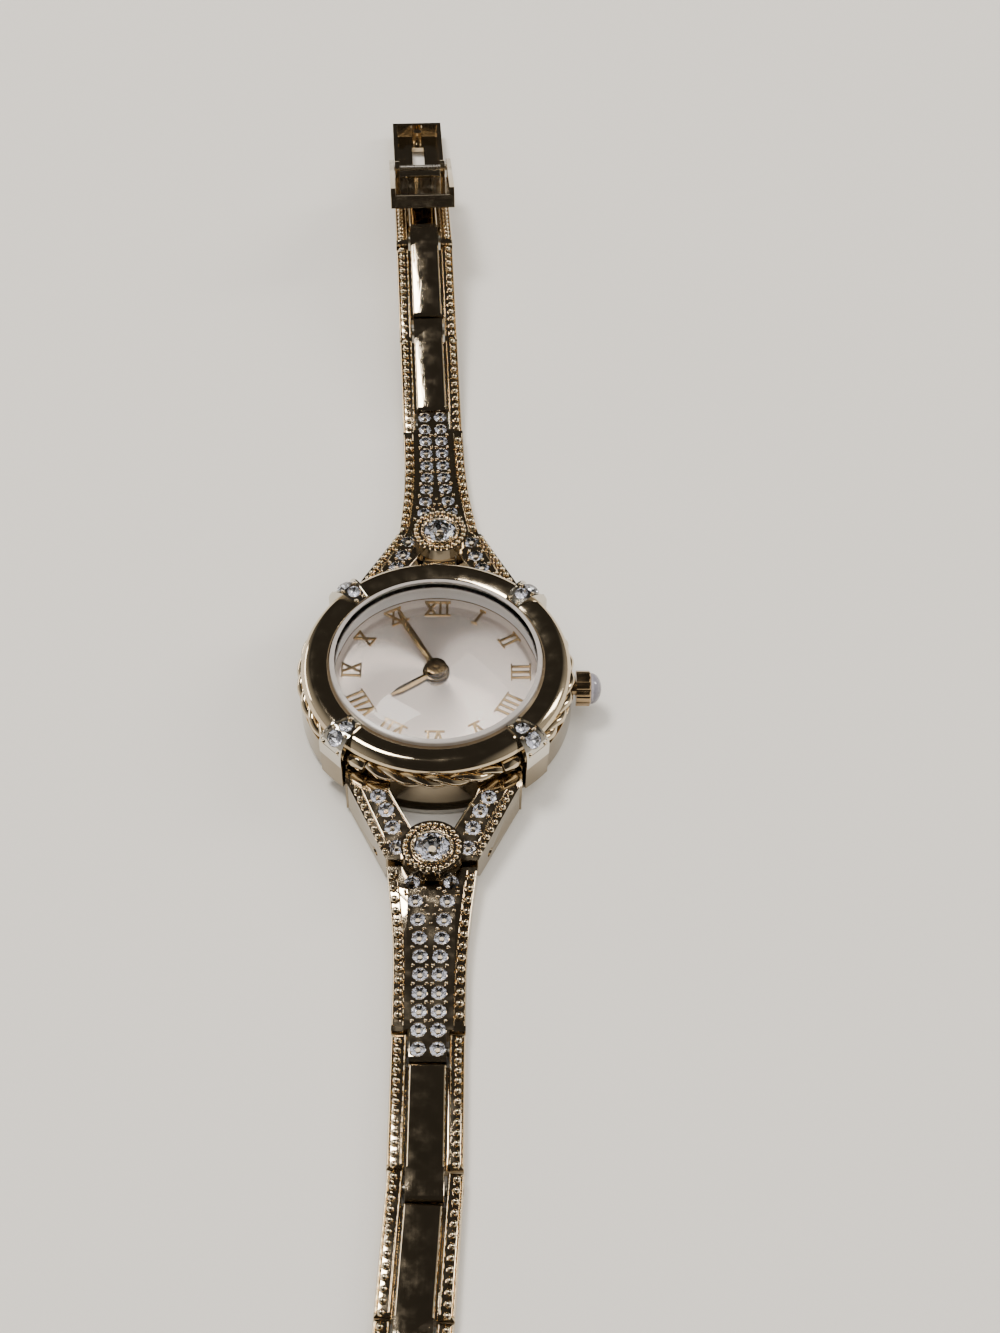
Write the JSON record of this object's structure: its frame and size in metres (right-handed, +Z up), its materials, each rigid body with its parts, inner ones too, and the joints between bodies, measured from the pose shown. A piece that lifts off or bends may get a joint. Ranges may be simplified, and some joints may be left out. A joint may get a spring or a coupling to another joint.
{
  "type": "bracelet watch",
  "caption": "Small round bracelet watch with a domed polished bezel, stone-set claws, roman dial, V-shaped yokes and hinged jewellery links, lying open with its clasp undone.",
  "frame": {"origin": "centre of the case back's outer face, on which the watch lies", "axes": "+Z up through the dial, +Y towards 12 o'clock along the bracelet, +X towards the crown at 3 o'clock"},
  "size_m": [0.0266, 0.1657, 0.0104],
  "materials": {
    "case_gold": "polished gold colour",
    "bezel_gold": "mirror polished gold colour",
    "claw_gold": "polished gold colour with fine grains",
    "rope_gold": "twisted polished gold colour",
    "yoke_gold": "beaded pale gold colour",
    "pave_gold": "beaded pale gold colour",
    "link_gold": "polished pale gold colour with beaded rails",
    "ladder_gold": "satin pale gold colour",
    "clasp_gold": "polished pale gold colour",
    "crown_gold": "polished brown gold colour",
    "pin_steel": "plain ground steel",
    "back_steel": "satin steel",
    "clear_stone": "cut and clear",
    "crown_stone": "domed and clear with a blue tinge",
    "crystal_glass": "clear and polished",
    "seal_rubber": "soft black",
    "dial_silver": "silvered sunray",
    "numeral_gold": "polished gold colour",
    "hand_gold": "polished gold colour",
    "works_brass": "plain brass",
    "plate_brass": "nickelled",
    "holder_plastic": "matt white",
    "board_plastic": "green board",
    "train_metal": "nickelled",
    "cell_steel": "bright steel",
    "coil_copper": "lacquered copper wire",
    "core_iron": "soft iron",
    "stem_steel": "turned steel"
  },
  "bodies": {
    "head": {"case_body": "case_gold", "case_back": "back_steel", "case_back_gasket": "seal_rubber", "bezel": "bezel_gold", "bezel_claws": "claw_gold", "claw_crystals": "clear_stone", "rope_ring": "rope_gold", "crystal": "crystal_glass", "crystal_gasket": "seal_rubber", "dial": "dial_silver", "dial_numerals": "numeral_gold", "movement_plate": "plate_brass", "movement_holder": "holder_plastic", "circuit_board": "board_plastic", "train_bridge": "train_metal", "battery": "cell_steel", "battery_strap": "stem_steel", "coil": "coil_copper", "coil_core": "core_iron", "crown_tube": "crown_gold", "lower_yoke": "yoke_gold", "lower_yoke_crystals": "clear_stone", "lower_yoke_pin": "pin_steel", "upper_yoke": "yoke_gold", "upper_yoke_crystals": "clear_stone", "upper_yoke_pin": "pin_steel"},
    "minute_hand_body": {"minute_hand": "hand_gold", "cannon_pinion": "works_brass"},
    "hour_hand_body": {"hour_hand": "hand_gold", "hour_wheel": "works_brass"},
    "minute_wheel_body": {"minute_wheel": "works_brass"},
    "setting_slide_body": {"setting_slide": "stem_steel"},
    "crown_body": {"crown": "crown_gold", "crown_cabochon": "crown_stone", "crown_seal": "seal_rubber", "stem": "stem_steel"},
    "lower_pave_body": {"lower_pave_link": "pave_gold", "lower_pave_crystals": "clear_stone"},
    "lower_link_1_body": {"lower_link_1": "link_gold", "lower_link_1_pin": "pin_steel"},
    "lower_link_2_body": {"lower_link_2": "link_gold", "lower_link_2_pin": "pin_steel"},
    "lower_link_3_body": {"lower_link_3": "link_gold", "lower_link_3_pin": "pin_steel"},
    "upper_pave_body": {"upper_pave_link": "pave_gold", "upper_pave_crystals": "clear_stone"},
    "upper_link_1_body": {"upper_link_1": "link_gold", "upper_link_1_pin": "pin_steel"},
    "upper_link_2_body": {"upper_link_2": "link_gold", "upper_link_2_pin": "pin_steel"},
    "upper_link_3_body": {"upper_link_3": "link_gold", "upper_link_3_pin": "pin_steel"},
    "ladder_body": {"extension_ladder": "ladder_gold", "extension_ladder_pin": "pin_steel"},
    "clasp_frame_body": {"clasp_frame": "clasp_gold", "clasp_frame_pin": "pin_steel"},
    "clasp_cover_body": {"clasp_cover": "clasp_gold", "clasp_cover_pin": "pin_steel"}
  },
  "joints": [
    {"name": "minute_hand_turn", "type": "hinge", "parent": "head", "child": "minute_hand_body", "pos_m": [0, 0, 0.005], "axis": [0, 0, -1], "continuous": true},
    {"name": "hour_hand_turn", "type": "hinge", "parent": "head", "child": "hour_hand_body", "pos_m": [0, 0, 0.005], "axis": [0, 0, -1], "continuous": true},
    {"name": "minute_wheel_turn", "type": "hinge", "parent": "head", "child": "minute_wheel_body", "pos_m": [0.0018, -0.00214, 0.004], "axis": [0, 0, -1], "continuous": true},
    {"name": "crown_pull", "type": "slide", "parent": "head", "child": "setting_slide_body", "axis": [1, 0, 0], "range_m": [0, 0.0008]},
    {"name": "crown_turn", "type": "hinge", "parent": "setting_slide_body", "child": "crown_body", "pos_m": [0.0123, 0, 0.003], "axis": [1, 0, 0], "continuous": true},
    {"name": "lower_pave_hinge", "type": "hinge", "parent": "head", "child": "lower_pave_body", "pos_m": [0, -0.01625, 0.00135], "axis": [1, 0, 0], "range_deg": [-3, 35]},
    {"name": "lower_link_1_hinge", "type": "hinge", "parent": "lower_pave_body", "child": "lower_link_1_body", "pos_m": [0, -0.03475, 0.00095], "axis": [1, 0, 0], "range_deg": [-15, 38]},
    {"name": "lower_link_2_hinge", "type": "hinge", "parent": "lower_link_1_body", "child": "lower_link_2_body", "pos_m": [0, -0.04625, 0.00095], "axis": [0.9986, -0.0523, 0], "range_deg": [-15, 38]},
    {"name": "lower_link_3_hinge", "type": "hinge", "parent": "lower_link_2_body", "child": "lower_link_3_body", "pos_m": [-0.0006, -0.05773, 0.00095], "axis": [0.9986, -0.0523, 0], "range_deg": [-15, 38]},
    {"name": "ladder_hinge", "type": "hinge", "parent": "lower_link_3_body", "child": "ladder_body", "pos_m": [-0.0012, -0.06922, 0.00095], "axis": [0.9986, -0.0523, 0], "range_deg": [-15, 38]},
    {"name": "upper_pave_hinge", "type": "hinge", "parent": "head", "child": "upper_pave_body", "pos_m": [0, 0.01625, 0.00135], "axis": [-0.9983, -0.0576, 0], "range_deg": [-3, 35]},
    {"name": "upper_link_1_hinge", "type": "hinge", "parent": "upper_pave_body", "child": "upper_link_1_body", "pos_m": [-0.00106, 0.03472, 0.00095], "axis": [-0.9983, -0.0576, 0], "range_deg": [-3, 50]},
    {"name": "upper_link_2_hinge", "type": "hinge", "parent": "upper_link_1_body", "child": "upper_link_2_body", "pos_m": [-0.00171, 0.04595, 0.00334], "axis": [-0.9983, -0.0576, 0], "range_deg": [-13.4, 39.6]},
    {"name": "upper_link_3_hinge", "type": "hinge", "parent": "upper_link_2_body", "child": "upper_link_3_body", "pos_m": [-0.00236, 0.05711, 0.00605], "axis": [-0.9983, -0.0576, 0], "range_deg": [-40.6, 12.4]},
    {"name": "clasp_hinge", "type": "hinge", "parent": "upper_link_3_body", "child": "clasp_frame_body", "pos_m": [-0.003, 0.06834, 0.00365], "axis": [-0.9983, -0.0576, 0], "range_deg": [-8, 39.2]},
    {"name": "cover_hinge", "type": "hinge", "parent": "clasp_frame_body", "child": "clasp_cover_body", "pos_m": [-0.00313, 0.07061, 0.0049], "axis": [-0.9983, -0.0576, 0], "range_deg": [0, 170]}
  ],
  "couplings": [
    {"joint": "hour_hand_turn", "follows": "minute_hand_turn", "ratio": 0.083333},
    {"joint": "minute_wheel_turn", "follows": "minute_hand_turn", "ratio": -0.33333}
  ]
}
